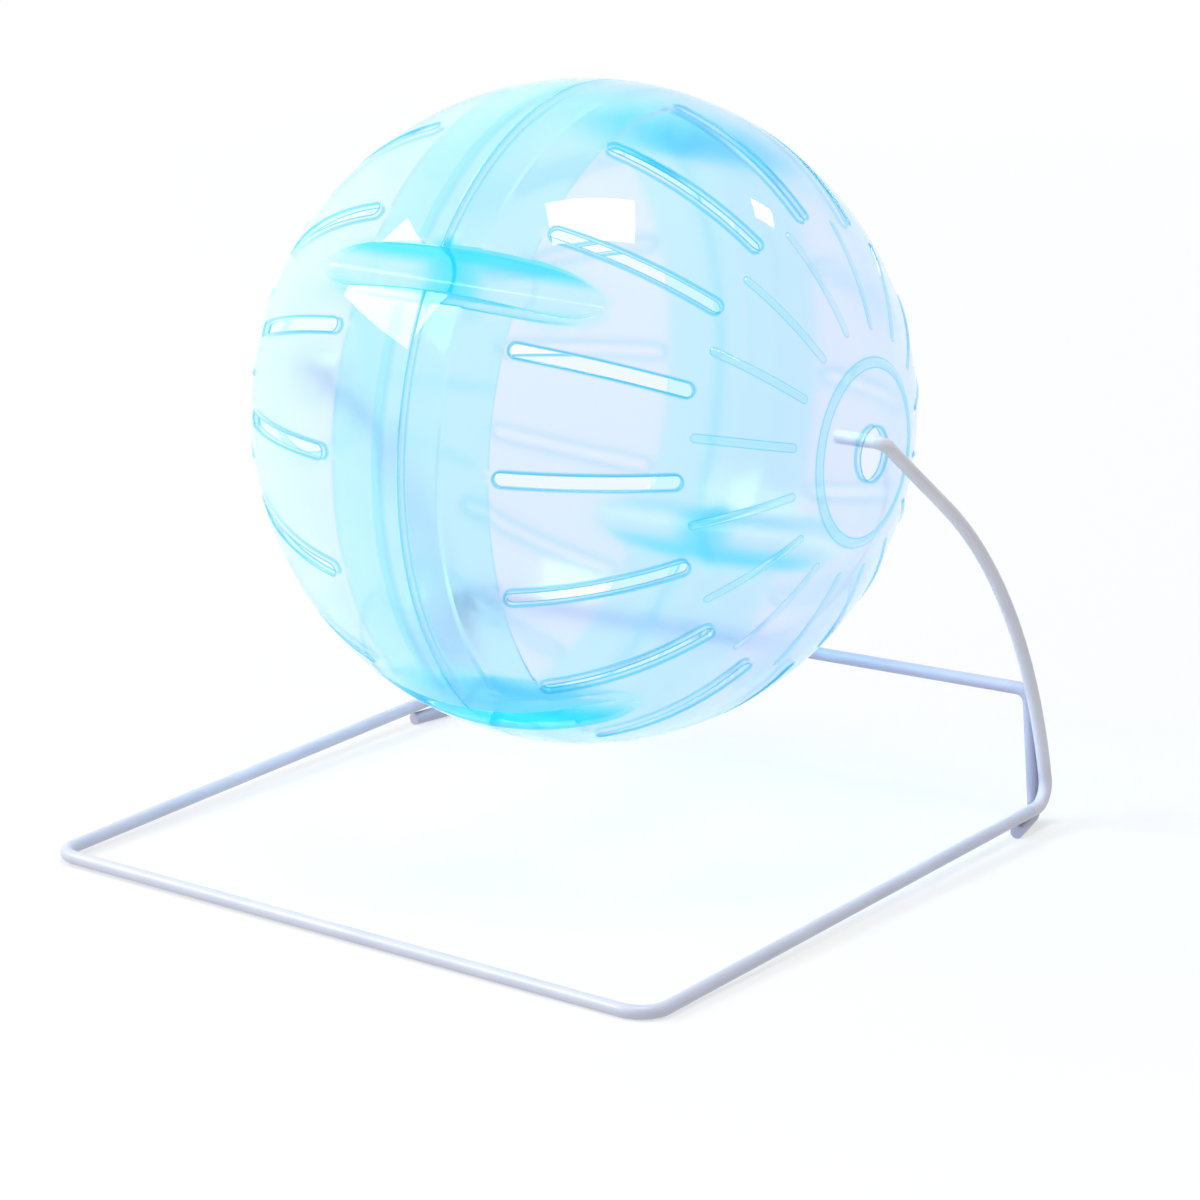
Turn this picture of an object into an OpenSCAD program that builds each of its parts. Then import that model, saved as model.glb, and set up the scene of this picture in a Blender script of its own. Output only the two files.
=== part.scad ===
// Hamster ball in two clear halves, hung between the sprung arms of a bent wire stand.
// Millimetres, +Z up. The floor is Z 0, the ball's spin axis runs along X above the origin,
// and the stand's front rail lies on the -Y side.

/* [Ball] */
// Outer diameter of the ball
ball_d = 140; // [120:5:180]
// Wall thickness of the shell
ball_wall = 1.6; // [1.2:0.1:2]
// Extra thickness on the inside of the band beside the seam
band_extra = 0.6; // [0.4:0.1:0.8]
// Distance from the seam to the edge of the thicker band
band_reach = 18.7; // [16:0.1:19]
// Diameter of the hole at each pole
pole_hole_d = 11; // [10:0.5:13]
// Bevel on each rim, which makes the fine groove along the seam
rim_bevel = 0.45; // [0.2:0.05:0.6]

/* [Air slots and beads] */
// Air slots around each half
slot_count = 16; // [12:4:20]
// Width of an air slot
slot_w = 2.7; // [2:0.1:3.5]
// Angle from the seam to the near end of a slot
slot_from = 17.2; // [17:0.1:20]
// Angle from the seam to the far end of a slot
slot_to = 48.2; // [40:0.1:48.4]
// Width of a moulded bead
bead_w = 2; // [1.6:0.1:2.4]
// Height of a bead over the shell
bead_rise = 0.4; // [0.4:0.1:0.8]
// Angle from the seam to the near end of a bead
bead_from = 48.9; // [48.5:0.1:52]
// Angle from the seam to the far end of a bead
bead_to = 69.2; // [60:0.1:70]
// Middle diameter of the ring bead around each pole
pole_ring_d = 37.2; // [34:0.2:38]

/* [Finger scoops and push fit] */
// Finger scoops around the seam
scoop_count = 4; // [2:2:4]
// Width of a scoop
scoop_w = 9; // [9:0.5:13]
// Depth of a scoop at the seam
scoop_depth = 7.8; // [6:0.1:8.5]
// Slope of a scoop's floor along the ball
scoop_slope = 3; // [0:0.5:4]
// How far the push-fit ring reaches into the right half
ring_reach = 7.8; // [5:0.1:9]
// How far the push-fit ring runs back inside the left half
ring_root = 6; // [4:0.1:8]
// Thickness of the push-fit ring
ring_wall = 1.4; // [1:0.1:1.8]

/* [Wire stand] */
// Thickness of the coated wire
wire_d = 2.9; // [2.5:0.1:3.2]
// Distance between the centres of the two side rails
rail_span = 156.8; // [154:0.2:190]
// Distance from the ball's axis forward to the middle of the front rail
front_reach = 90.9; // [80:0.1:110]
// How far each front corner stands out of square, as on the photographed stand
front_skew = 9.4; // [0:0.2:12]
// Bend radius at the front corners
front_bend_r = 6; // [5:0.5:10]
// Height of the ball's axis over the middle of the rails
axis_over_rails = 89.6; // [88:0.2:110]
// Height of the arms' tips over the ball's axis, inside the pole holes
tip_rise = 2.6; // [2:0.1:2.6]
// Room between the ball's pole and the middle of each arm's tip bend
tip_room = 1.9; // [1.8:0.1:3]
// Length of each arm's tip, inward from the arm
tip_len = 11; // [8:0.5:11]
// Bend radius between arm and tip
tip_bend_r = 2.2; // [2:0.1:3]
// Distance from the ball's axis back to the corner where the arms rise
corner_reach = 66.3; // [60:0.1:75]
// Bend radius at those corners
corner_bend_r = 5; // [4:0.5:6]
// Distance behind the ball's axis where the arm's two straight directions meet
knee_reach = 59.3; // [55:0.1:60]
// Height over the rails where the arm's two straight directions meet
knee_height = 49.1; // [48:0.1:52]
// Radius of the arm's long curve
arm_curve_r = 100; // [60:1:101]
// Distance behind the ball's axis where each arm takes over from its rail
arm_root_reach = 58; // [52:0.5:58.5]

/* [Rear tie bar] */
// Height of the tie bar over the rails
tie_height = 24.9; // [18:0.1:32]
// Distance from the ball's axis back to the tie bar
tie_reach = 65.2; // [62:0.1:68]
// Bend radius at the ends of the tie bar
tie_bend_r = 3; // [2.5:0.1:5]
// Bend radius at the foot of each leg
hook_bend_r = 2.2; // [2:0.1:3]
// Distance behind the ball's axis to the bottom of each leg
hook_back = 66.3; // [65:0.1:70]
// Distance behind the ball's axis to the free end of each hook
hook_front = 52; // [48:0.5:55]

/* [Fits] */
// Radial running gap of the push-fit ring
fit_gap = 0.05; // [0.03:0.01:0.1]
// Gap between neighbouring wires that lie against each other
wire_gap = 0.25; // [0.2:0.05:0.5]
// Gap between the push-fit ring and the scoop walls it is notched around
notch_gap = 0.3; // [0.2:0.05:0.5]

/* [Hidden] */
$fn = 48;
smooth_fn = 120;
shell_colour = [0.62, 0.90, 0.98];
wire_colour = [0.86, 0.87, 0.93];
tie_colour = [0.76, 0.82, 0.93];

ball_r = ball_d / 2;
wire_r = wire_d / 2;
rail_x = rail_span / 2;
overrun = ball_wall;
inner_r = ball_r - ball_wall;
band_r = inner_r - band_extra;
rim_gap = fit_gap;
ring_outer_r = band_r + fit_gap;
ring_inner_r = ring_outer_r - ring_wall;
socket_r = ring_outer_r + fit_gap;
socket_reach = ring_reach + notch_gap;
bead_r = bead_w / 2;
bead_track_r = ball_r + bead_rise - bead_r;
// Where a straight runs into a curve, the one is this much smaller and reaches into the other.
blend_step = 0.02;
blend_lap = 0.2;
pitch = 360 / slot_count;

// The stand rests on the front rail and on the two rear hooks, so it leans a little.
hook_drop = wire_d + wire_gap;
front_edge = front_reach + front_skew;
stand_tilt = atan(hook_drop / (hook_front + front_edge));
axis_height = wire_r + axis_over_rails * cos(stand_tilt) + front_edge * sin(stand_tilt);

// The arms lean in from the rails until their tips reach the poles.
tip_x = ball_r + tip_room;
tip_height = axis_over_rails + tip_rise;
arm_lean = atan((rail_x - tip_x) / tip_height);
tip_along_arm = tip_height / cos(arm_lean);

function arm_point(y, along) = [rail_x - along * sin(arm_lean), y, along * cos(arm_lean)];
function mirrored(p) = [-p.x, p.y, p.z];
function unit(v) = v / norm(v);
function turn(a, b) = acos(max(-1, min(1, unit(a) * unit(b))));

// A straight piece of wire between two points.
module rod(from, to) {
    run = to - from;
    translate(from) rotate([0, acos(run.z / norm(run)), atan2(run.y, run.x)])
        cylinder(h = norm(run), d = wire_d - 2 * blend_step);
}

// A bend of radius r in the wire, where the lines from a to corner and corner to b meet.
module elbow(a, corner, b, r) {
    first = unit(corner - a);
    second = unit(b - corner);
    angle = turn(first, second);
    axis = unit(cross(first, second));
    centre = corner + (second - first) * r / norm(second - first) / cos(angle / 2);
    start = corner - first * r * tan(angle / 2) - centre;
    dip = acos(axis.z);
    head = atan2(axis.y, axis.x);
    local_x = [cos(dip) * cos(head), cos(dip) * sin(head), -sin(dip)];
    local_y = [-sin(head), cos(head), 0];
    translate(centre) rotate([0, dip, head]) rotate([0, 0, atan2(start * local_y, start * local_x)])
        rotate_extrude(angle = angle, $fn = smooth_fn) translate([r, 0]) circle(d = wire_d, $fn = 48);
}

// How much of a straight the bend at one of its ends takes up.
function taken(path, radii, i) =
    (i == 0 || i == len(path) - 1) ? 0 :
    radii[i] * tan(turn(path[i] - path[i - 1], path[i + 1] - path[i]) / 2) - blend_lap;

// One length of wire through the points of path, with a bend radius for each inner point.
module bent_wire(path, radii) {
    for (i = [0 : len(path) - 2]) {
        along = unit(path[i + 1] - path[i]);
        rod(path[i] + along * taken(path, radii, i), path[i + 1] - along * taken(path, radii, i + 1));
    }
    for (i = [1 : len(path) - 2]) elbow(path[i - 1], path[i], path[i + 1], radii[i]);
}

// The stand is drawn with the middle of its rails at Z 0, then leaned and lifted onto the floor.
module stand_place() {
    translate([0, 0, axis_height]) rotate([stand_tilt, 0, 0]) translate([0, 0, -axis_over_rails]) children();
}

module ball_place() {
    translate([0, 0, axis_height]) children();
}

// Turns what is drawn on the -Y side of the ball to every place in the list of angles.
module around(angles) {
    for (a = angles) rotate([a, 0, 0]) children();
}

// The cut of one finger scoop, or the block that its wall is cut from when grow is the wall's thickness.
module scoop(grow) {
    reach = ball_r - scoop_depth + scoop_w / 2;
    rotate([0, 0, scoop_slope]) translate([0, -reach, 0]) {
        rotate([0, 90, 0]) cylinder(h = ball_d, r = scoop_w / 2 + grow, center = true);
        translate([-ball_r, -ball_r, blend_step - scoop_w / 2 - grow])
            cube([ball_d, ball_r, scoop_w + 2 * grow - 2 * blend_step]);
    }
}

module scoops(grow) {
    around([for (i = [0 : scoop_count - 1]) pitch / 2 - (i * 360 / scoop_count + pitch * 2)]) scoop(grow);
}

// A radial bar with round ends that stands along the ball on the +X half, between two angles from the seam.
module radial_bar(width, from, to, near, far) {
    end_angle = asin(width / 2 / ball_r);
    low = from + end_angle;
    high = to - end_angle;
    tip = far / cos((high - low) / 2);
    linear_extrude(width, center = true) polygon([
        near * [sin(low), -cos(low)], far * [sin(low), -cos(low)],
        tip * [sin((low + high) / 2), -cos((low + high) / 2)],
        far * [sin(high), -cos(high)], near * [sin(high), -cos(high)]]);
    for (a = [low, high]) rotate([0, 0, a]) rotate([90, 0, 0]) translate([0, 0, near])
        cylinder(h = far - near, d = width - 2 * blend_step);
}

module slots() {
    around([for (i = [0 : slot_count - 1]) i * pitch])
        radial_bar(slot_w, slot_from, slot_to, inner_r - 2 * ball_wall, ball_r + 2 * ball_wall);
}

module beads() {
    intersection() {
        around([for (i = [0 : slot_count - 1]) (i + 1 / 2) * pitch])
            radial_bar(bead_w, bead_from, bead_to, ball_r - ball_wall / 2, ball_r + 2 * bead_rise);
        sphere(r = ball_r + bead_rise, $fn = smooth_fn);
    }
}

// Half of the shell's section, with the distance from the spin axis across and from the seam upwards.
module shell_section() {
    difference() {
        intersection() {
            circle(r = ball_r, $fn = smooth_fn);
            translate([pole_hole_d / 2, rim_gap]) square(ball_r);
        }
        intersection() {
            circle(r = inner_r, $fn = smooth_fn);
            translate([0, band_reach]) square(ball_r);
        }
        intersection() {
            circle(r = band_r, $fn = smooth_fn);
            square([ball_r, band_reach + overrun]);
        }
        polygon([[ball_r - rim_bevel, 0], [ball_r + rim_bevel, 2 * rim_bevel], [ball_r + rim_bevel, 0]]);
    }
    translate([pole_ring_d / 2, sqrt(pow(bead_track_r, 2) - pow(pole_ring_d / 2, 2))]) circle(r = bead_r);
}

// Spins a section round the ball's axis, to stand on the +X side.
module spun() {
    rotate([0, 90, 0]) rotate_extrude($fn = smooth_fn) children();
}

// The walls around the finger scoops on one side of the seam, as solid blocks before the scoops are cut.
module scoop_blocks(side) {
    intersection() {
        scoops(ball_wall);
        translate([side * (rim_gap + ball_r) - ball_r, -ball_r, -ball_r]) cube(ball_d);
        sphere(r = ball_r - ball_wall / 2, $fn = smooth_fn);
    }
}

module left_half() {
    color(shell_colour) ball_place() difference() {
        union() {
            mirror([1, 0, 0]) {
                spun() {
                    shell_section();
                    translate([ring_inner_r, -ring_reach]) square([ring_wall, ring_reach + ring_root]);
                }
                beads();
            }
            scoop_blocks(-1);
        }
        scoops(0);
        intersection() {
            scoops(ball_wall + notch_gap);
            translate([-rim_gap, -ball_d, -ball_d]) cube(2 * ball_d);
        }
        mirror([1, 0, 0]) slots();
    }
}

module right_half() {
    color(shell_colour) ball_place() difference() {
        union() {
            spun() difference() {
                shell_section();
                square([socket_r, socket_reach]);
            }
            beads();
            scoop_blocks(1);
        }
        scoops(0);
        slots();
    }
}

// The front rail and both side rails, as far back as the arms' roots.
base_path = [[rail_x, arm_root_reach, 0], [rail_x, -front_reach - front_skew, 0],
    [-rail_x, -front_reach + front_skew, 0], [-rail_x, arm_root_reach, 0]];

module base_frame() {
    color(wire_colour) stand_place() bent_wire(base_path, [0, front_bend_r, front_bend_r, 0]);
}

// From the rail's end round the rear corner, up the arm and in through the pole hole.
arm_path = [[rail_x, arm_root_reach, 0], [rail_x, corner_reach, 0], arm_point(knee_reach, knee_height),
    arm_point(0, tip_along_arm), arm_point(0, tip_along_arm) - [tip_len, 0, 0]];
arm_radii = [0, corner_bend_r, arm_curve_r, tip_bend_r, 0];

module right_arm() {
    color(wire_colour) stand_place() bent_wire(arm_path, arm_radii);
}

module left_arm() {
    color(wire_colour) stand_place() mirror([1, 0, 0]) bent_wire(arm_path, arm_radii);
}

// A second wire behind the ball: its legs stand inside the arms and hook under the rails.
leg_inset = (wire_d + wire_gap) / cos(arm_lean);
leg_top = arm_point(tie_reach, tie_height / cos(arm_lean)) - [leg_inset, 0, 0];
leg_foot = [rail_x - leg_inset, hook_back, -hook_drop];
hook_end = [rail_x, hook_front, -hook_drop];
tie_path = [hook_end, leg_foot, leg_top, mirrored(leg_top), mirrored(leg_foot), mirrored(hook_end)];

module rear_tie_bar() {
    color(tie_colour) stand_place()
        bent_wire(tie_path, [0, hook_bend_r, tie_bend_r, tie_bend_r, hook_bend_r, 0]);
}

left_half();
right_half();
base_frame();
right_arm();
left_arm();
rear_tie_bar();
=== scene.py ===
import bpy
import math
import numpy as np
from mathutils import Matrix, Vector
from mathutils.geometry import delaunay_2d_cdt
from mathutils.kdtree import KDTree


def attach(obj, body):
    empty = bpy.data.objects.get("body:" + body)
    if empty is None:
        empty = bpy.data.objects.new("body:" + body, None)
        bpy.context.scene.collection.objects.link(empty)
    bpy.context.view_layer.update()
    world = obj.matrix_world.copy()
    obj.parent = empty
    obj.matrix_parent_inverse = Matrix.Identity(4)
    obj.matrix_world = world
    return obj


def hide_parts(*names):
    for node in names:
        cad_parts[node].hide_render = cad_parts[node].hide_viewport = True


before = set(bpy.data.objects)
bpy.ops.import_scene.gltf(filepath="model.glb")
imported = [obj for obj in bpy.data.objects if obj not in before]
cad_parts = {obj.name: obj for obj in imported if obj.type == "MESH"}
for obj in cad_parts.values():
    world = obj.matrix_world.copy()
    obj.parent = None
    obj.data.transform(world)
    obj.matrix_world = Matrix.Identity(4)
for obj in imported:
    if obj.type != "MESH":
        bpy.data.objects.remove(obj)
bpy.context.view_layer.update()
MM = 0.001

# The same sizes as in the part's source, in millimetres and degrees.
BALL_R, WALL, BAND_EXTRA, BAND_REACH = 70.0, 1.6, 0.6, 18.7
INNER_R = BALL_R - WALL
BAND_R = INNER_R - BAND_EXTRA
AXIS_H = 93.1049
HOLE_R = 5.5
RIM_GAP, BEVEL = 0.05, 0.45
BARS, PITCH = 16, 22.5
SLOT_W, SLOT_FROM, SLOT_TO = 2.7, 17.2, 48.2
BEAD_W, BEAD_RISE, BEAD_FROM, BEAD_TO = 2.0, 0.4, 48.9, 69.2
RING_BEAD_R, RING_BEAD_HALF = 18.6, 1.1
SCOOPS, SCOOP_FIRST, SCOOP_STEP = 4, 33.75, 90
SCOOP_W, SCOOP_DEPTH, SCOOP_SLOPE = 9.0, 7.8, 3.0
RING_REACH, RING_ROOT, RING_WALL, FIT_GAP = 7.8, 6.0, 1.4, 0.05
RING_OUT = BAND_R + FIT_GAP
RING_IN = RING_OUT - RING_WALL
SOCKET_R = RING_OUT + FIT_GAP
SOCKET_REACH = RING_REACH + 0.3
NOTCH_GAP = 0.3

# Rounded edges that only the scene has.
EDGE = 0.3
EDGE_MIDDLE = 0.2 * EDGE
INNER_BEVEL, INNER_BEVEL_MIDDLE = 0.25, 0.07
OUTER_FILLET, INNER_FILLET = 0.5, 0.45
RING_EDGE = 0.25

# How far a bead's rows of points are from its middle line. The skirt is the row round it.
BEAD_SKIRT = 1.2
BEAD_ROWS = (BEAD_SKIRT, 0.92, 0.8, 0.58, 0.3)
RING_BEAD_ROWS = (0.2, 0.5, 0.8, 0.92, 1.1, 1.5)

# How fine the meshes are: numbers of points.
BEVEL_STEPS, FILLET_STEPS, TROUGH_STEPS, STATIONS = 4, 4, 8, 16
ARC_STEPS, HOLE_POINTS, RING_BEAD_POINTS, STEP_POINTS, RING_STEPS = 34, 64, 96, 240, 40
SLOT_POINTS, BEAD_POINTS, FEWEST_IN_ROW = (9, 9), (8, 6), 12

# Distances between points: the even grid, the rows at a step, and how close a point may come.
SPACING, ROW_SHARE, FIRST_ROW, POLE_MARGIN = 2.6, 0.87, 0.9, 0.012
STEP_HALF, BAND_STEP_HALF, STRIPE_EDGE = 0.05, 0.12, 0.25
NEAR_GRID, NEAR_STEP, NEAR_STEP_ROW, NEAR_RING_BEAD = 1.0, 0.5, 0.9, 2.2
AROUND_SLOT, FIRST_STATION, STATION_GAP, TIP_GAP = 0.9, 0.5, 0.45, 0.6
TIP_FROM, TIP_TO, HALVINGS = 10.0, 45.0, 60
PAST_RIM, PAST_STEP, BELOW_FOOT, TOLERANCE = 0.3, 0.5, 0.03, 1e-7

# How strongly bars and the painted shade lines along edges, steps and the seam show, from 0 to 1,
# and between which distances they fade out.
BAND_SHADE_LINE, ROOT_SHADE_LINE, BEAD_SHADE_LINE, SEAM_SHADE_LINE = 0.72, 0.76, 0.95, 0.95
STRIPE_TONE, BEAD_TONE, RING_BEAD_TONE = 0.5, 0.32, 0.55
HOLE_FADE, STEP_FADE, BEAD_LINE_FADE = (0.4, 1.1), (0.15, 0.6), (0.12, 0.3)
BEAD_FADE, RING_BEAD_FADE, SCOOP_WALL_FADE, MOUTH_FADE = (0, 0.15), (1.1, 1.3), (0.95, 0.55), (3, 9)
OUTER_DEEP, INNER_DEEP, MOUTH_DEEP, SCOOP_BAND = 0.92, 1.0, 0.9, 0.5
# The slot walls' middle points carry painted shade in the first share of their tone.
SLOT_WALL_TONE = (0.45, 0.3, 0.0)
STRIPE, SEAM_LINE_W, BEAD_LINE_IN, RING_LINE_AT, FAR = 2.0, 0.2, 0.1, 1.0, 9.0
INNER_GLOSS, GLOSSY_LAYER = 0.45, 1.0

# A point counts as on a surface, or as part of the rim's bevel, within these distances.
ON_INSIDE, ON_OUTSIDE, ON_BEVEL, ON_SEAM = 0.3, 0.05, 0.5, 0.02


def fade(x, one, zero):
    """1 where x is at one, 0 where it is at zero, and straight between."""
    return max(0.0, min(1.0, (x - zero) / (one - zero)))


def round_end(width):
    """The angle along the meridian that half the width of a bar takes up."""
    return math.degrees(math.asin(width / 2 / BALL_R))


def bar_distance(p, offset, angle_from, angle_to, width):
    """Distance of a point from the outline of the nearest meridian bar, less than 0 inside it."""
    rho = math.hypot(p[1], p[2])
    lon = math.degrees(math.atan2(p[2], -p[1])) - offset
    across = rho * math.sin(math.radians((lon + PITCH / 2) % PITCH - PITCH / 2))
    angle = math.degrees(math.atan2(p[0], rho))
    end = round_end(width)
    along = BALL_R * math.radians(angle - max(angle_from + end, min(angle_to - end, angle)))
    return math.hypot(along, across) - width / 2


def find_tone(p, side):
    """How much a point shows painted shade along an edge, the colour of the band and of a raised
    bar.
    """
    a, rho = p[0], math.hypot(p[1], p[2])
    r = math.hypot(a, rho)
    if a < 0:
        return 0.0, 0.0, 0.0
    slot = bar_distance(p, 0, SLOT_FROM, SLOT_TO, SLOT_W)
    # Painted shade: darker cyan lines along the slots' and the pole hole's edges.
    edge = max(fade(slot, *HOLE_FADE), fade(rho - HOLE_R, *HOLE_FADE))
    band, bar = 0.0, 0.0
    if r < INNER_R + ON_INSIDE:
        band = 1.0 if RIM_GAP + ON_SEAM < a < BAND_REACH + BAND_STEP_HALF / 2 else 0.0
        # Painted shade lines along the inside's band step and ring root.
        edge = max(edge, BAND_SHADE_LINE * fade(abs(a - BAND_REACH), *STEP_FADE),
                   ROOT_SHADE_LINE * fade(abs(a - RING_ROOT), *STEP_FADE))
        if side < 0 and a > RING_ROOT:
            stripe_end = RING_ROOT + STRIPE
            bar = STRIPE_TONE * fade(a, stripe_end, stripe_end + STRIPE_EDGE)
    # Painted shade: a thin dark line along the seam of the left half.
    if side < 0 and r > BALL_R - ON_BEVEL and a < RIM_GAP + SEAM_LINE_W:
        edge = SEAM_SHADE_LINE
    if r > BALL_R - ON_OUTSIDE:
        bead = bar_distance(p, PITCH / 2, BEAD_FROM, BEAD_TO, BEAD_W)
        ring = abs(rho - RING_BEAD_R) if a > BALL_R / 2 else FAR
        bar = max(BEAD_TONE * fade(bead, *BEAD_FADE), RING_BEAD_TONE * fade(ring, *RING_BEAD_FADE))
        # Painted shade lines round the beads and the ring bead.
        edge = max(edge, BEAD_SHADE_LINE * fade(abs(bead + BEAD_LINE_IN), *BEAD_LINE_FADE),
                   BEAD_SHADE_LINE * fade(abs(ring - RING_LINE_AT), *BEAD_LINE_FADE))
    return edge, band, bar


def polar(a, rho, lon):
    """A point at distance a from the seam and rho from the spin axis, at longitude lon."""
    t = math.radians(lon)
    return np.array([a, -rho * math.cos(t), rho * math.sin(t)])


def longitude(p):
    return math.degrees(math.atan2(p[2], -p[1]))


def on_meridian(angle, u, v, r, lon):
    """The point of the sphere of radius r, u along the meridian from this angle and v across."""
    s, c = math.sin(math.radians(angle)), math.cos(math.radians(angle))
    depth = math.sqrt(r * r - u * u - v * v)
    x, y, z = s * depth + c * u, -c * depth + s * u, v
    t = math.radians(-lon)
    return np.array([x, y * math.cos(t) - z * math.sin(t), y * math.sin(t) + z * math.cos(t)])


def stadium(angle_from, angle_to, width, w, r, lon, numbers):
    """A closed outline at half width w and radius r round a bar of this width.

    The numbers of points are those on a side and those on a round end.
    """
    n_side, n_end = numbers
    end = round_end(width)
    low, high = angle_from + end, angle_to - end
    out = []
    for start, stop, half_turn in ((low, high, math.pi / 2), (high, low, -math.pi / 2)):
        side = math.copysign(w, half_turn)
        for k in range(n_side):
            out.append(on_meridian(start + (stop - start) * k / n_side, 0, side, r, lon))
        for k in range(n_end):
            t = half_turn - math.pi * k / n_end
            out.append(on_meridian(stop, w * math.cos(t), w * math.sin(t), r, lon))
    return out


def flat(p):
    """A map of the half: the distance from the pole along the sphere, and the longitude."""
    rho = math.hypot(p[1], p[2])
    s = BALL_R * math.atan2(rho, p[0])
    return (s * -p[1] / rho, s * p[2] / rho) if rho > 0 else (0.0, 0.0)


def inside(points, outlines):
    """Which of the flat points lie inside any of the closed outlines."""
    points = np.asarray(points, float).reshape(-1, 2)
    found = np.zeros(len(points), bool)
    for p in outlines:
        lo, hi = p.min(0), p.max(0)
        near = np.where(((points >= lo) & (points <= hi)).all(1) & ~found)[0]
        if not len(near):
            continue
        q = points[near][:, None, :]
        a, b = p[None, :, :], np.roll(p, -1, 0)[None, :, :]
        cross = (a[..., 1] > q[..., 1]) != (b[..., 1] > q[..., 1])
        with np.errstate(divide="ignore", invalid="ignore"):
            slope = (b[..., 0] - a[..., 0]) / (b[..., 1] - a[..., 1])
            x = a[..., 0] + (q[..., 1] - a[..., 1]) * slope
        found[near] = (cross & (q[..., 0] < x)).sum(1) % 2 == 1
    return found


class Shell:
    """The mesh of one half in its own frame: a away from the seam, then across and up."""

    def __init__(self, side):
        self.side = side
        self.points, self.normals, self.tones = [], [], []
        self.faces, self.groups = [], []

    def add(self, point, normal=None, tone=None):
        self.points.append(np.array(point, float))
        self.normals.append(None if normal is None else np.array(normal, float))
        self.tones.append(find_tone(self.points[-1], self.side) if tone is None else tone)
        return len(self.points) - 1

    def face(self, ids, group=0):
        corners = list(dict.fromkeys(ids))
        if len(corners) > 2:
            self.faces.append(tuple(corners))
            self.groups.append(group)

    def strip(self, row_a, row_b, closed=False, group=0, flip=False):
        n = len(row_a)
        for k in range(n if closed else n - 1):
            m = (k + 1) % n
            quad = [row_a[k], row_a[m], row_b[m], row_b[k]]
            self.face(quad[::-1] if flip else quad, group)

    def strips(self, rows, closed=False, flip=False):
        for row_a, row_b in zip(rows[:-1], rows[1:]):
            self.strip(row_a, row_b, closed=closed, flip=flip)

    def triangulate(self, loops, region, holes, points, outward):
        """Fills the region between the closed loops of ids with triangles, on the flat map."""
        ids, coords, edges, order = [], [], [], {}

        def put(i):
            if i not in order:
                order[i] = len(ids)
                ids.append(i)
                coords.append(Vector(flat(self.points[i])))
            return order[i]

        for loop, closed in loops:
            k = [put(i) for i in loop]
            edges += list(zip(k[:-1], k[1:]))
            if closed:
                edges.append((k[-1], k[0]))
        for i in points:
            put(i)
        result = delaunay_2d_cdt(coords, edges, [], 0, TOLERANCE, True)
        verts, faces, origin = np.array(result[0]), np.array(result[2]), result[3]
        middles = verts[faces].mean(1)
        keep = inside(middles, [region]) & ~inside(middles, holes)
        for tri in faces[keep]:
            corners = [ids[origin[i][0]] for i in tri]
            self.face(corners[::-1] if outward else corners)


def scoop_axis(side, a):
    """Distance of a scoop's long axis from the spin axis, at distance a from the seam."""
    reach = BALL_R - SCOOP_DEPTH + SCOOP_W / 2
    t = math.radians(SCOOP_SLOPE)
    return reach / math.cos(t) - side * a * math.tan(t)


def scoop_section(rho, c, w, fillet):
    """Half width and height of the points across a trough of half width w, cut in a disc.

    The disc's radius is rho, and c is the height of the trough's axis.
    """
    a, b = rho - fillet, w + fillet
    wall_height = math.sqrt(max(a * a - b * b, 0))
    has_wall = wall_height >= c
    if has_wall:
        centre = np.array([b, wall_height])
        foot = np.array([w, wall_height])
        arc_from = 0.0
    else:
        cos_t = (a * a + c * c - b * b) / (2 * a * c)
        t = math.acos(max(-1, min(1, cos_t)))
        centre = np.array([a * math.sin(t), a * math.cos(t)])
        d = (centre - np.array([0, c])) / np.linalg.norm(centre - np.array([0, c]))
        foot = np.array([0, c]) + d * w
        arc_from = math.atan2(-d[1], d[0])
    top = centre / np.linalg.norm(centre) * rho
    a0 = math.atan2(*(top - centre)[::-1])
    a1 = math.atan2(*(foot - centre)[::-1])
    while a1 < a0:
        a1 += 2 * math.pi
    turns = [a0 + (a1 - a0) * k / FILLET_STEPS for k in range(FILLET_STEPS)]
    half = [centre + fillet * np.array([math.cos(t), math.sin(t)]) for t in turns] + [foot]

    def on_arc(t):
        return np.array([w * math.cos(t), c - w * math.sin(t)])

    half.append(np.array([w, c]) if has_wall else (foot + on_arc(arc_from + BELOW_FOOT)) / 2)
    for k in range(1, TROUGH_STEPS + 1):
        half.append(on_arc(arc_from + (math.pi / 2 - arc_from) * k / TROUGH_STEPS))
    half[-1][0] = 0
    mirrored = [np.array([-q[0], q[1]]) for q in half[:-1]][::-1]
    return half + mirrored


def bead_height(s):
    """Height of a moulded bead over the sphere: its section is part of a circle of 1 mm."""
    return max(0.0, math.sqrt(max(0.0, 1 - s * s)) - (1 - BEAD_RISE))


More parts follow.
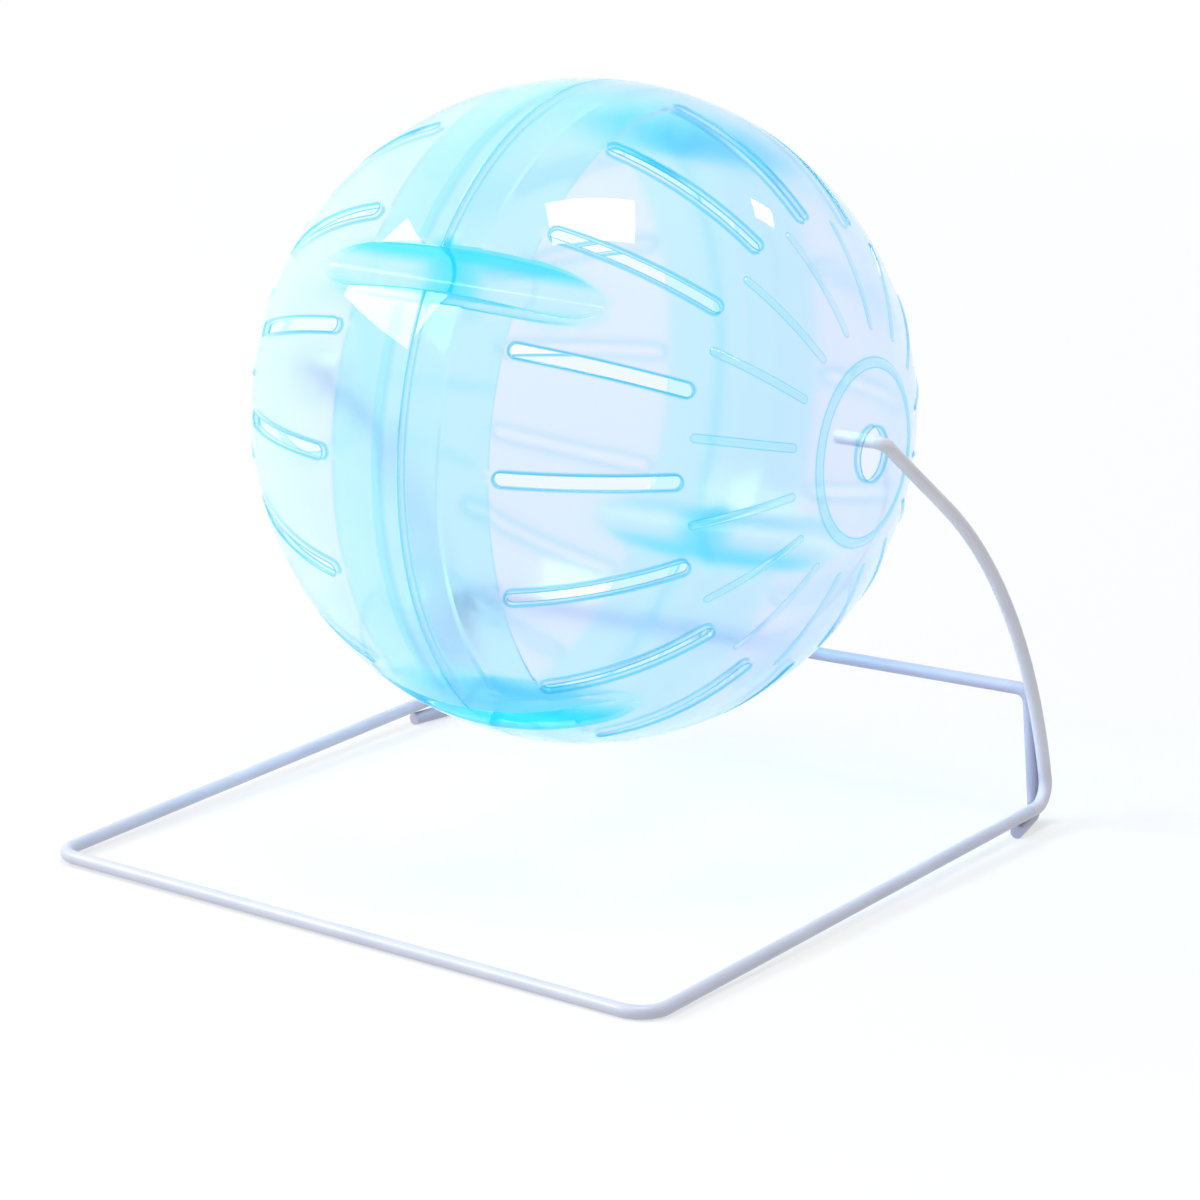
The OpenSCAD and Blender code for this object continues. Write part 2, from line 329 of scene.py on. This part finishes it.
class Skin:
    """The outer or the inner surface of one half, with its scoops, slots, pole hole and beads."""

    def __init__(self, shell, outer):
        self.shell = shell
        self.outer = outer
        self.side = shell.side
        self.sign = 1 if outer else -1
        self.r = BALL_R if outer else INNER_R
        self.scoop_half = SCOOP_W / 2 if outer else SCOOP_W / 2 + WALL
        self.step = SOCKET_REACH if self.side > 0 else RING_ROOT
        self.step_rows = [] if outer else self.find_step_rows()
        self.rim = self.find_rim()
        self.loops, self.holes, self.bare, self.taken = [], [], [], []
        self.scoops = [self.add_scoop(SCOOP_FIRST + SCOOP_STEP * k) for k in range(SCOOPS)]
        self.arcs = [self.add_arc(k) for k in range(SCOOPS)]
        outline = self.find_outline()
        self.keep_loop(outline)
        self.slots = [self.add_slot(k * PITCH) for k in range(BARS)]
        self.hole = self.add_hole()
        if outer:
            for k in range(BARS):
                self.add_bead((k + 0.5) * PITCH)
            self.add_ring_bead()
        region = np.array([flat(shell.points[i]) for i in outline])
        points = self.add_fill(region)
        shell.triangulate(self.loops, region, self.holes, points, outer)

    def rho(self, a):
        """Distance of the surface from the spin axis, at distance a from the seam."""
        if self.outer:
            return math.sqrt(BALL_R ** 2 - a * a)
        if a < self.step:
            return SOCKET_R if self.side > 0 else RING_IN
        return math.sqrt((BAND_R if a < BAND_REACH else INNER_R) ** 2 - a * a)

    def radial(self, p):
        return self.sign * p / np.linalg.norm(p)

    def keep_loop(self, ids, closed=True):
        self.loops.append((ids, closed))
        self.taken += [self.shell.points[i] for i in ids]

    def find_step_rows(self):
        """Distances from the seam of the rows on both sides of each step in the inside."""
        rows = [self.step - STEP_HALF, self.step + STEP_HALF,
                BAND_REACH - BAND_STEP_HALF, BAND_REACH + BAND_STEP_HALF]
        if self.side < 0:
            rows += [self.step + STRIPE - STEP_HALF, self.step + STRIPE + STRIPE_EDGE]
        return rows

    def find_rim(self):
        """The rounded rim, from the surface to the seam: distances from the seam and the axis."""
        if self.outer:
            rho = self.rho(RIM_GAP + BEVEL)
            turns = [math.pi / 2 * k / BEVEL_STEPS for k in range(BEVEL_STEPS + 1)]
            return [(RIM_GAP + BEVEL * (1 - math.sin(t)), rho - BEVEL * (1 - math.cos(t)))
                    for t in turns]
        rho = self.rho(RIM_GAP)
        return [(RIM_GAP + INNER_BEVEL, rho),
                (RIM_GAP + INNER_BEVEL_MIDDLE, rho + INNER_BEVEL_MIDDLE),
                (RIM_GAP, rho + INNER_BEVEL)]

    def find_stations(self):
        """Distances from the seam of the rows of a trough, and of its tip."""
        lo, hi = TIP_FROM, TIP_TO
        for _ in range(HALVINGS):
            mid = (lo + hi) / 2
            depth = self.rho(mid) - (scoop_axis(self.side, mid) - self.scoop_half)
            lo, hi = (mid, hi) if depth > 0 else (lo, mid)
        tip = (lo + hi) / 2
        rows = [FIRST_STATION + (tip - FIRST_STATION) * (1 - (1 - k / STATIONS) ** 2)
                for k in range(STATIONS)]
        rows = [a for a in rows if all(abs(a - e) > STATION_GAP for e in self.step_rows)]
        return sorted(rows + [e for e in self.step_rows if e < tip - TIP_GAP]), tip

    def add_scoop(self, lon):
        """One trough: its rows of ids from the seam outward, and the id of its tip."""
        t = math.radians(lon)
        out = np.array([-math.cos(t), math.sin(t)])
        across = np.array([math.sin(t), math.cos(t)])

        def place(a, q):
            return np.array([a, *(out * q[1] + across * q[0])])

        shell = self.shell
        fillet = OUTER_FILLET if self.outer else INNER_FILLET
        stations, tip = self.find_stations()
        spots = self.rim[::-1]
        spots += [(a, self.rho(a)) for a in stations if a > self.rim[0][0] + PAST_RIM]
        grid = []
        for i, (a, rho) in enumerate(spots):
            row = scoop_section(rho, scoop_axis(self.side, a), self.scoop_half, fillet)
            ids = []
            for j, q in enumerate(row):
                p = place(a, q)
                border = i >= len(self.rim) and j in (0, len(row) - 1)
                steep = fade(abs(q[0]) / self.scoop_half, *SCOOP_WALL_FADE)
                deep = OUTER_DEEP if self.outer else INNER_DEEP
                deep *= max(steep, MOUTH_DEEP * fade(a, *MOUTH_FADE))
                tone = (find_tone(p, self.side)[0], SCOOP_BAND, 0.0 if border else deep)
                ids.append(shell.add(p, self.radial(p) if border and self.outer else None, tone))
            grid.append(ids)
        tip_id = shell.add(place(tip, (0, self.rho(tip))))
        shell.strips(grid, flip=not self.outer)
        for left_id, right_id in zip(grid[-1][:-1], grid[-1][1:]):
            ids = [left_id, right_id, tip_id]
            shell.face(ids if self.outer else ids[::-1])
        return grid, tip_id

    def add_arc(self, k):
        """The rim between two scoops, as rows that start and end on the scoops' edges."""
        shell = self.shell
        first, last = self.scoops[k][0], self.scoops[(k + 1) % SCOOPS][0]
        rows = []
        for i, (a, rho) in enumerate(self.rim[::-1]):
            lon_from = longitude(shell.points[first[i][0]])
            lon_to = longitude(shell.points[last[i][-1]])
            while lon_to < lon_from:
                lon_to += 360
            row = [first[i][0]]
            for m in range(1, ARC_STEPS):
                p = polar(a, rho, lon_from + (lon_to - lon_from) * m / ARC_STEPS)
                known = self.radial(p) if i == len(self.rim) - 1 and self.outer else None
                row.append(shell.add(p, known))
            rows.append(row + [last[i][-1]])
        shell.strips(rows, flip=self.outer)
        return rows

    def find_outline(self):
        """The closed outline of the region that the flat map fills."""
        outline = []
        start = len(self.rim) - 1
        for (grid, tip_id), arc in zip(self.scoops, self.arcs):
            left = [row[-1] for row in grid[start:]]
            right = [row[0] for row in grid[start:]][::-1]
            outline += left + [tip_id] + right + arc[start][1:-1]
        return outline

    def edge_rows(self, make_points):
        """The rounded edge of a hole, as rows of ids from the surface into the wall."""
        rows = []
        for wider, drop in ((EDGE, 0), (EDGE_MIDDLE, EDGE_MIDDLE), (0, EDGE)):
            points = make_points(wider, self.r - self.sign * drop)
            rows.append([self.shell.add(p, None if drop else self.radial(p)) for p in points])
        self.shell.strips(rows, closed=True, flip=self.outer)
        self.keep_loop(rows[0])
        self.holes.append(np.array([flat(self.shell.points[i]) for i in rows[0]]))
        return rows

    def add_slot(self, lon):
        def outline(wider, r):
            w = SLOT_W / 2 + wider
            return stadium(SLOT_FROM, SLOT_TO, SLOT_W, w, r, lon, SLOT_POINTS)

        rows = self.edge_rows(outline)
        around = outline(EDGE + AROUND_SLOT, self.r)
        self.keep_loop([self.shell.add(p, self.radial(p)) for p in around])
        self.bare.append(np.array([flat(p) for p in around]))
        return rows

    def add_hole(self):
        def outline(wider, r):
            rho = HOLE_R + wider
            a = math.sqrt(r * r - rho * rho)
            return [polar(a, rho, 360 * m / HOLE_POINTS) for m in range(HOLE_POINTS)]

        return self.edge_rows(outline)

    def add_bead(self, lon):
        shell = self.shell
        for s in BEAD_ROWS:
            r = BALL_R + bead_height(s)
            points = stadium(BEAD_FROM, BEAD_TO, BEAD_W, s, r, lon, BEAD_POINTS)
            skirt = s == BEAD_SKIRT
            self.keep_loop([shell.add(p, self.radial(p) if skirt else None) for p in points])
            if skirt:
                self.bare.append(np.array([flat(p) for p in points]))
        end = round_end(BEAD_W)
        length = BEAD_TO - BEAD_FROM - 2 * end
        n = BEAD_POINTS[0]
        middle = [on_meridian(BEAD_FROM + end + length * m / n, 0, 0, BALL_R + BEAD_RISE, lon)
                  for m in range(n + 1)]
        self.keep_loop([shell.add(p) for p in middle], closed=False)

    def add_ring_bead(self):
        for s in [-s for s in RING_BEAD_ROWS[::-1]] + list(RING_BEAD_ROWS):
            r = BALL_R + bead_height(abs(s) / RING_BEAD_HALF)
            rho = RING_BEAD_R + s
            a = math.sqrt(r * r - rho * rho)
            points = [polar(a, rho, 360 * m / RING_BEAD_POINTS) for m in range(RING_BEAD_POINTS)]
            skirt = abs(s) > RING_BEAD_HALF
            self.keep_loop([self.shell.add(p, self.radial(p) if skirt else None) for p in points])

    def grid_points(self):
        """Evenly spread points, in rows from the seam to the pole hole."""
        last_angle = math.pi / 2 - math.asin(HOLE_R / BALL_R) - POLE_MARGIN
        points = []
        row = 0
        angle = FIRST_ROW / BALL_R
        while angle <= last_angle:
            a, rho = BALL_R * math.sin(angle), BALL_R * math.cos(angle)
            n = max(FEWEST_IN_ROW, int(2 * math.pi * rho / SPACING))
            if not self.outer:
                a = a * INNER_R / BALL_R
                rho = self.rho(a)
            points += [polar(a, rho, 360 * (m + 0.5 * (row % 2)) / n) for m in range(n)]
            row += 1
            angle = (SPACING * ROW_SHARE * row + FIRST_ROW) / BALL_R
        return points

    def add_fill(self, region):
        """The points between the loops: rows along the inside's steps, and the even grid."""
        steps = [polar(a, self.rho(a), 360 * m / STEP_POINTS)
                 for a in self.step_rows for m in range(STEP_POINTS)]
        candidates = steps + self.grid_points()
        tree = KDTree(len(self.taken))
        for i, p in enumerate(self.taken):
            tree.insert((*flat(p), 0), i)
        tree.balance()
        spots = np.array([flat(p) for p in candidates])
        free = inside(spots, [region]) & ~inside(spots, self.holes + self.bare)
        ids = []
        for i in np.where(free)[0]:
            p = candidates[i]
            gap = tree.find((*spots[i], 0))[2]
            if i < len(steps):
                if gap >= NEAR_STEP:
                    ids.append(self.shell.add(p))
                continue
            from_axis = math.hypot(p[1], p[2])
            if gap < NEAR_GRID or any(abs(p[0] - e) < NEAR_STEP_ROW for e in self.step_rows):
                continue
            if self.outer and abs(from_axis - RING_BEAD_R) < NEAR_RING_BEAD:
                continue
            if self.outer or p[0] > self.step + PAST_STEP:
                known = self.radial(p)
            else:
                known = -np.array([0, p[1], p[2]]) / from_axis
            ids.append(self.shell.add(p, known))
        return ids


def make_shell(side):
    """One half of the ball: -1 is the left half, 1 the right one."""
    shell = Shell(side)
    outer, inner = Skin(shell, True), Skin(shell, False)
    for out_rows, in_rows in zip(outer.slots + [outer.hole], inner.slots + [inner.hole]):
        middle = [shell.add((shell.points[u] + shell.points[v]) / 2, None, SLOT_WALL_TONE)
                  for u, v in zip(out_rows[-1], in_rows[-1])]
        shell.strip(out_rows[-1], middle, closed=True, flip=True)
        shell.strip(middle, in_rows[-1], closed=True, flip=True)
    for k in range(SCOOPS):
        shell.strip(outer.scoops[k][0][0], inner.scoops[k][0][0], group=1, flip=True)
        shell.strip(outer.arcs[k][0], inner.arcs[k][0], group=1)
    return shell


def make_ring():
    """The push-fit ring beyond the seam: four arcs between the scoop walls."""
    shell = Shell(-1)
    root, tip, e = -RIM_GAP, -RING_REACH, RING_EDGE
    turns = [(math.cos(math.radians(t)), math.sin(math.radians(t))) for t in (0, 30, 60, 90)]
    profile = [(root, RING_OUT)]
    profile += [(tip + e - e * s, RING_OUT - e + e * c) for c, s in turns]
    profile += [(tip + e - e * c, RING_IN + e - e * s) for c, s in turns]
    profile.append((root, RING_IN))
    notch = math.degrees(math.asin((SCOOP_W / 2 + WALL + NOTCH_GAP) / RING_IN))
    for k in range(SCOOPS):
        start = SCOOP_FIRST + SCOOP_STEP * k + notch
        end = SCOOP_FIRST + SCOOP_STEP * (k + 1) - notch
        rows = []
        for m in range(RING_STEPS + 1):
            lon = start + (end - start) * m / RING_STEPS
            rows.append([shell.add(polar(a, rho, lon)) for a, rho in profile])
        shell.strips(rows, closed=True, flip=True)
        shell.face(rows[0], 2)
        shell.face(rows[-1][::-1], 3)
    return shell


def to_object(shell, name):
    """A mesh object from a shell, with the known normals kept and the others averaged."""
    points = np.array(shell.points)
    mirror = np.array([shell.side, 1, 1])
    world = points * mirror + np.array([0, 0, AXIS_H])
    faces = [f if shell.side > 0 else f[::-1] for f in shell.faces]
    mesh = bpy.data.meshes.new(name)
    mesh.from_pydata((world * MM).tolist(), [], [list(f) for f in faces])
    mesh.update()
    sums = {}
    for f, group in zip(faces, shell.groups):
        q = world[list(f)]
        n = np.zeros(3)
        for k in range(1, len(f) - 1):
            n += np.cross(q[k] - q[0], q[k + 1] - q[0])
        for i in f:
            sums.setdefault((i, group), np.zeros(3))
            sums[(i, group)] += n
    normals = []
    for f, group in zip(faces, shell.groups):
        for i in f:
            known = shell.normals[i] if group == 0 else None
            n = sums[(i, group)] if known is None else known * mirror
            length = np.linalg.norm(n)
            normals.append((n / length).tolist() if length > 0 else [0, 0, 1])
    gloss = [1.0 if np.linalg.norm(p) > BALL_R - GLOSSY_LAYER else INNER_GLOSS for p in points]
    tone = mesh.attributes.new("tone", "FLOAT_COLOR", "POINT")
    tone.data.foreach_set("color", [c for t, g in zip(shell.tones, gloss) for c in (*t, g)])
    mesh.polygons.foreach_set("use_smooth", [True] * len(mesh.polygons))
    mesh.normals_split_custom_set(normals)
    obj = bpy.data.objects.new(name, mesh)
    bpy.context.scene.collection.objects.link(obj)
    return obj


# Helpers for materials. Where a value is given, it may be a number, a colour or a socket.

def new_material(name):
    material = bpy.data.materials.new(name)
    material.use_nodes = True
    tree = material.node_tree
    tree.nodes.clear()
    return material, tree, tree.nodes.new("ShaderNodeOutputMaterial")


def feed(tree, socket, value):
    if isinstance(value, bpy.types.NodeSocket):
        tree.links.new(value, socket)
    else:
        socket.default_value = value


def noise(tree, scale, detail):
    node = tree.nodes.new("ShaderNodeTexNoise")
    node.inputs["Scale"].default_value = scale
    node.inputs["Detail"].default_value = detail
    place = tree.nodes.new("ShaderNodeTexCoord")
    tree.links.new(place.outputs["Object"], node.inputs["Vector"])
    return node.outputs["Fac"]


def ramp(tree, source, low, high, between):
    """A colour ramp from low to high, between two levels of the source."""
    node = tree.nodes.new("ShaderNodeValToRGB")
    for element, at, colour in zip(node.color_ramp.elements, between, (low, high)):
        element.position, element.color = at, colour
    tree.links.new(source, node.inputs["Fac"])
    return node.outputs["Color"]


def bump(tree, source, strength, distance):
    node = tree.nodes.new("ShaderNodeBump")
    node.inputs["Strength"].default_value = strength
    node.inputs["Distance"].default_value = distance
    tree.links.new(source, node.inputs["Height"])
    return node.outputs["Normal"]


def blend_colour(tree, amount, low, high):
    node = tree.nodes.new("ShaderNodeMix")
    node.data_type = "RGBA"
    tree.links.new(amount, node.inputs["Factor"])
    feed(tree, node.inputs["A"], low)
    feed(tree, node.inputs["B"], high)
    return node.outputs["Result"]


def math_node(tree, operation, first, second):
    node = tree.nodes.new("ShaderNodeMath")
    node.operation = operation
    feed(tree, node.inputs[0], first)
    feed(tree, node.inputs[1], second)
    return node.outputs[0]


def map_range(tree, value, source, target):
    """Takes a value from one range, given as a pair of numbers, to another."""
    node = tree.nodes.new("ShaderNodeMapRange")
    for name, number in zip(("From Min", "From Max", "To Min", "To Max"), (*source, *target)):
        node.inputs[name].default_value = number
    tree.links.new(value, node.inputs["Value"])
    return node.outputs["Result"]


def mix_shaders(tree, amount, first, second):
    node = tree.nodes.new("ShaderNodeMixShader")
    tree.links.new(amount, node.inputs["Fac"])
    tree.links.new(first, node.inputs[1])
    tree.links.new(second, node.inputs[2])
    return node.outputs["Shader"]


BAND_TINT = (0.49, 0.905, 1.0, 1)
BAR_TINT = (0.06, 0.80, 1.0, 1)
# The colour that the painted shade lines along edges darken to.
EDGE_SHADE_TINT = (0.10, 0.62, 0.84, 1)
SHADOW_TINT = (0.85, 0.93, 1.0, 1)
DEPTH_TINT, DEPTH_DENSITY = (0.10, 0.72, 0.965, 1), 20.0
BLACK, WHITE = (0, 0, 0, 1), (1, 1, 1, 1)
GLOSSY, DULL = (0.38, 0.38, 0.38, 1), (0.50, 0.50, 0.50, 1)


def clear_plastic(name, low, high, rough):
    """Clear plastic, tinted by the points' tones, with painted shade lines along its edges, and
    less glossy inside the ball.
    """
    material, tree, out = new_material(name)
    shader = tree.nodes.new("ShaderNodeBsdfPrincipled")
    shader.inputs["Transmission Weight"].default_value = 1.0
    shader.inputs["IOR"].default_value = 1.04
    shader.inputs["Roughness"].default_value = rough
    shader.inputs["Coat IOR"].default_value = 1.5
    shader.inputs["Coat Roughness"].default_value = 0.02
    tone = tree.nodes.new("ShaderNodeAttribute")
    tone.attribute_name = "tone"
    side = tree.nodes.new("ShaderNodeNewGeometry")
    front = math_node(tree, "SUBTRACT", 1.0, side.outputs["Backfacing"])
    coat = math_node(tree, "MULTIPLY", front, tone.outputs["Alpha"])
    tree.links.new(coat, shader.inputs["Coat Weight"])
    parts = tree.nodes.new("ShaderNodeSeparateColor")
    tree.links.new(tone.outputs["Color"], parts.inputs["Color"])
    tint = ramp(tree, noise(tree, scale=18.0, detail=2.0), low, high, between=(0.35, 0.65))
    tint = blend_colour(tree, parts.outputs["Green"], tint, BAND_TINT)
    tint = blend_colour(tree, parts.outputs["Blue"], tint, BAR_TINT)
    # Painted shade: edges, steps, the seam and the bead outlines are darkened towards this tint.
    line = ramp(tree, parts.outputs["Red"], BLACK, WHITE, between=(0.6, 0.98))
    tint = blend_colour(tree, line, tint, EDGE_SHADE_TINT)
    tree.links.new(tint, shader.inputs["Base Color"])
    flow = bump(tree, noise(tree, scale=24.0, detail=1.0), strength=0.08, distance=0.002)
    tree.links.new(flow, shader.inputs["Normal"])
    # Lamps light what is behind the plastic, with a blue tint.
    through = tree.nodes.new("ShaderNodeBsdfTransparent")
    through.inputs["Color"].default_value = SHADOW_TINT
    path = tree.nodes.new("ShaderNodeLightPath")
    surface = mix_shaders(tree, path.outputs["Is Shadow Ray"], shader.outputs["BSDF"],
                          through.outputs["BSDF"])
    tree.links.new(surface, out.inputs["Surface"])
    depth = tree.nodes.new("ShaderNodeVolumeAbsorption")
    depth.inputs["Color"].default_value = DEPTH_TINT
    depth.inputs["Density"].default_value = DEPTH_DENSITY
    tree.links.new(depth.outputs["Volume"], out.inputs["Volume"])
    return material


def coated_wire(name, light, dark):
    """Steel wire with a smooth pale coating."""
    material, tree, out = new_material(name)
    shader = tree.nodes.new("ShaderNodeBsdfPrincipled")
    colour = ramp(tree, noise(tree, scale=60.0, detail=4.0), dark, light, between=(0.3, 0.7))
    tree.links.new(colour, shader.inputs["Base Color"])
    gloss = ramp(tree, noise(tree, scale=140.0, detail=3.0), GLOSSY, DULL, between=(0.3, 0.7))
    tree.links.new(gloss, shader.inputs["Roughness"])
    skin = bump(tree, noise(tree, scale=420.0, detail=2.0), strength=0.15, distance=0.0002)
    tree.links.new(skin, shader.inputs["Normal"])
    shader.inputs["Coat Weight"].default_value = 0.15
    shader.inputs["Coat Roughness"].default_value = 0.2
    tree.links.new(shader.outputs["BSDF"], out.inputs["Surface"])
    return material


left_plastic = clear_plastic("clear_blue_plastic", low=(0.835, 0.91, 1.0, 1),
                             high=(0.865, 0.925, 1.0, 1), rough=0.50)
right_plastic = clear_plastic("clear_lid_plastic", low=(0.86, 0.89, 1.0, 1),
                              high=(0.89, 0.905, 1.0, 1), rough=0.33)
ring_plastic = clear_plastic("clear_ring_plastic", low=(0.975, 0.99, 1.0, 1),
                             high=(0.985, 0.995, 1.0, 1), rough=0.42)
# The three wires share one coating. The tie bar's copy is darker and bluer, painted shade for the
# blue-tinted shade behind the ball. The arms' copy is lighter and greyer.
wire = coated_wire("coated_wire", light=(0.51, 0.53, 0.615, 1), dark=(0.455, 0.475, 0.57, 1))
arm_wire = coated_wire("coated_arm_wire", light=(0.58, 0.575, 0.62, 1),
                       dark=(0.52, 0.515, 0.57, 1))
tie_wire_painted_shade = coated_wire("coated_tie_wire", light=(0.39, 0.395, 0.50, 1),
                       dark=(0.345, 0.35, 0.46, 1))

# The pieces that stand for the two halves.
left = to_object(make_shell(-1), "left_half_shell")
right = to_object(make_shell(1), "right_half_shell")
ring = to_object(make_ring(), "left_half_ring")
for piece, body, material in ((left, "ball", left_plastic), (right, "ball_lid", right_plastic),
                              (ring, "ball", ring_plastic)):
    piece.data.materials.append(material)
    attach(piece, body)
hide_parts("left_half")
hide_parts("left_half")
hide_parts("right_half")

# The wires are the part's own solids.
for node, material in (("base_frame", wire), ("right_arm", arm_wire), ("left_arm", arm_wire),
                       ("rear_tie_bar", tie_wire_painted_shade)):
    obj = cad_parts[node]
    obj.data.materials.clear()
    obj.data.materials.append(material)

# The camera stands where the photograph's camera stood, at the fitted angles and distance.
PICTURE, SENSOR = 1200, 36
AZ, EL, ROLL = math.radians(31.706), math.radians(13.943), math.radians(1.178)
FOCAL_PX, DISTANCE, CENTRE_PX = 5057.96, 1065.14, (584.374, 411.469)
back = Vector((math.sin(AZ) * math.cos(EL), -math.cos(AZ) * math.cos(EL), math.sin(EL)))
across = Vector((math.cos(AZ), math.sin(AZ), 0))
upward = back.cross(across)
cam_x = across * math.cos(ROLL) + upward * math.sin(ROLL)
cam_y = -across * math.sin(ROLL) + upward * math.cos(ROLL)
right_px, down_px = CENTRE_PX[0] - PICTURE / 2, CENTRE_PX[1] - PICTURE / 2
ray = (cam_x * right_px - cam_y * down_px) / FOCAL_PX - back
spot = Vector((0, 0, AXIS_H)) - ray.normalized() * DISTANCE
camera_data = bpy.data.cameras.new("camera")
camera_data.sensor_fit = "HORIZONTAL"
camera_data.sensor_width = SENSOR
camera_data.lens = FOCAL_PX / PICTURE * SENSOR
camera_data.clip_start = 0.01
camera = bpy.data.objects.new("camera", camera_data)
bpy.context.scene.collection.objects.link(camera)
turn = Matrix((cam_x, cam_y, back)).transposed().to_4x4()
camera.matrix_world = Matrix.Translation(spot * MM) @ turn
bpy.context.scene.camera = camera

# A plain pale floor, a little brighter away from the part. Sizes are in metres from here on.
bpy.ops.mesh.primitive_plane_add(size=8, location=(0, 0, 0))
floor = bpy.context.object
floor.name = "floor"
material, tree, out = new_material("floor")
diffuse = tree.nodes.new("ShaderNodeBsdfDiffuse")
diffuse.inputs["Color"].default_value = (0.25, 0.25, 0.25, 1)
place = tree.nodes.new("ShaderNodeTexCoord")
away = tree.nodes.new("ShaderNodeVectorMath")
away.operation = "LENGTH"
tree.links.new(place.outputs["Object"], away.inputs[0])
glow = tree.nodes.new("ShaderNodeEmission")
strength = map_range(tree, away.outputs["Value"], source=(0.15, 2.0), target=(0.63, 0.90))
tree.links.new(strength, glow.inputs["Strength"])
both = tree.nodes.new("ShaderNodeAddShader")
tree.links.new(diffuse.outputs["BSDF"], both.inputs[0])
tree.links.new(glow.outputs["Emission"], both.inputs[1])
tree.links.new(both.outputs["Shader"], out.inputs["Surface"])
floor.data.materials.append(material)

# The world is white where it is seen, and a softer light, dimmer on one side, elsewhere.
world = bpy.data.worlds.new("world")
bpy.context.scene.world = world
world.use_nodes = True
tree = world.node_tree
tree.nodes.clear()
out = tree.nodes.new("ShaderNodeOutputWorld")
soft = tree.nodes.new("ShaderNodeBackground")
soft.inputs["Color"].default_value = (0.93, 0.96, 1.0, 1)
where = tree.nodes.new("ShaderNodeTexCoord")
aside = tree.nodes.new("ShaderNodeVectorMath")
aside.operation = "DOT_PRODUCT"
aside.inputs[1].default_value = (0.75, 0.66, 0.0)
tree.links.new(where.outputs["Generated"], aside.inputs[0])
level = map_range(tree, aside.outputs["Value"], source=(-0.8, 0.9), target=(0.95, 0.40))
tree.links.new(level, soft.inputs["Strength"])
plain = tree.nodes.new("ShaderNodeBackground")
plain.inputs["Color"].default_value = WHITE
plain.inputs["Strength"].default_value = 1.0
path = tree.nodes.new("ShaderNodeLightPath")
seen = math_node(tree, "MAXIMUM", path.outputs["Is Camera Ray"],
                 path.outputs["Is Transmission Ray"])
seen = math_node(tree, "MAXIMUM", seen, path.outputs["Is Glossy Ray"])
mixed = mix_shaders(tree, seen, soft.outputs["Background"], plain.outputs["Background"])
tree.links.new(mixed, out.inputs["Surface"])


AIM_H = 0.093


def softbox(name, location, size, energy):
    """A rectangular lamp that faces the middle of the ball."""
    data = bpy.data.lights.new(name, "AREA")
    data.shape = "RECTANGLE"
    data.size, data.size_y = size
    data.energy = energy
    obj = bpy.data.objects.new(name, data)
    bpy.context.scene.collection.objects.link(obj)
    obj.location = location
    aim = Vector((0, 0, AIM_H)) - Vector(location)
    obj.rotation_euler = aim.to_track_quat("-Z", "Y").to_euler()


softbox("side_window", location=(-0.85, -0.59, 0.79), size=(0.85, 0.50), energy=11.0)
softbox("top_window", location=(0.146, -0.195, 1.267), size=(0.50, 0.36), energy=7.5)
softbox("rear_lamp", location=(0.444, 0.749, 0.92), size=(0.14, 0.11), energy=0.7)

scene = bpy.context.scene
scene.view_settings.view_transform = "Standard"
